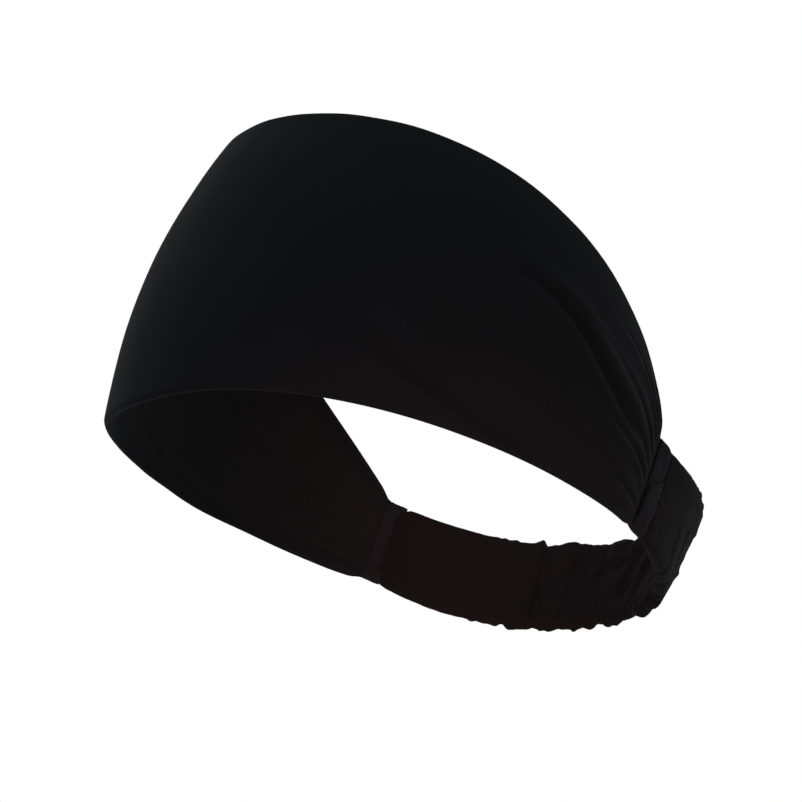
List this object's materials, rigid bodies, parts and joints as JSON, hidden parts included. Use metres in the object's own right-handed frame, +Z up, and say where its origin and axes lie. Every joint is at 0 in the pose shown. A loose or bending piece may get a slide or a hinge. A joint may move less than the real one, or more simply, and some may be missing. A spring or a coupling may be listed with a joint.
{
  "type": "sports headband",
  "caption": "Wide stretch-knit sports headband that tapers and gathers into a narrow ruched back strap with elastic inside.",
  "frame": {"origin": "middle of the head that the loop sits on: the centre of the loop's plan, level with the middle of the strap where it joins the band", "axes": "+Z up on the head, +Y towards the nape (the back strap), -Y towards the forehead, +X towards the wearer's left"},
  "size_m": [0.172, 0.1968, 0.0999],
  "materials": {
    "knit": "matt fine stretch knit, cool black",
    "lining_knit": "matt fine stretch knit, warm black",
    "ruched_knit": "matt fine stretch knit in small crumpled folds",
    "wrap_knit": "matt folded knit, a little lighter",
    "elastic": "woven elastic",
    "thread": "polyester sewing thread"
  },
  "bodies": {
    "front_band": {"outer_panel": "knit", "lining_panel": "lining_knit", "upper_edge_seam": "thread", "lower_edge_seam": "thread", "left_gather_thread": "thread", "right_gather_thread": "thread", "left_join_wrap": "wrap_knit", "right_join_wrap": "wrap_knit", "left_wrap_stitch": "thread", "right_wrap_stitch": "thread"},
    "back_strap": {"back_casing": "ruched_knit", "elastic_strip": "elastic", "casing_seam": "thread"}
  },
  "joints": [
    {"name": "strap_stretch", "type": "slide", "parent": "front_band", "child": "back_strap", "axis": [0, 1, 0], "range_m": [0, 0.035], "stiffness_N_per_m": 150}
  ]
}
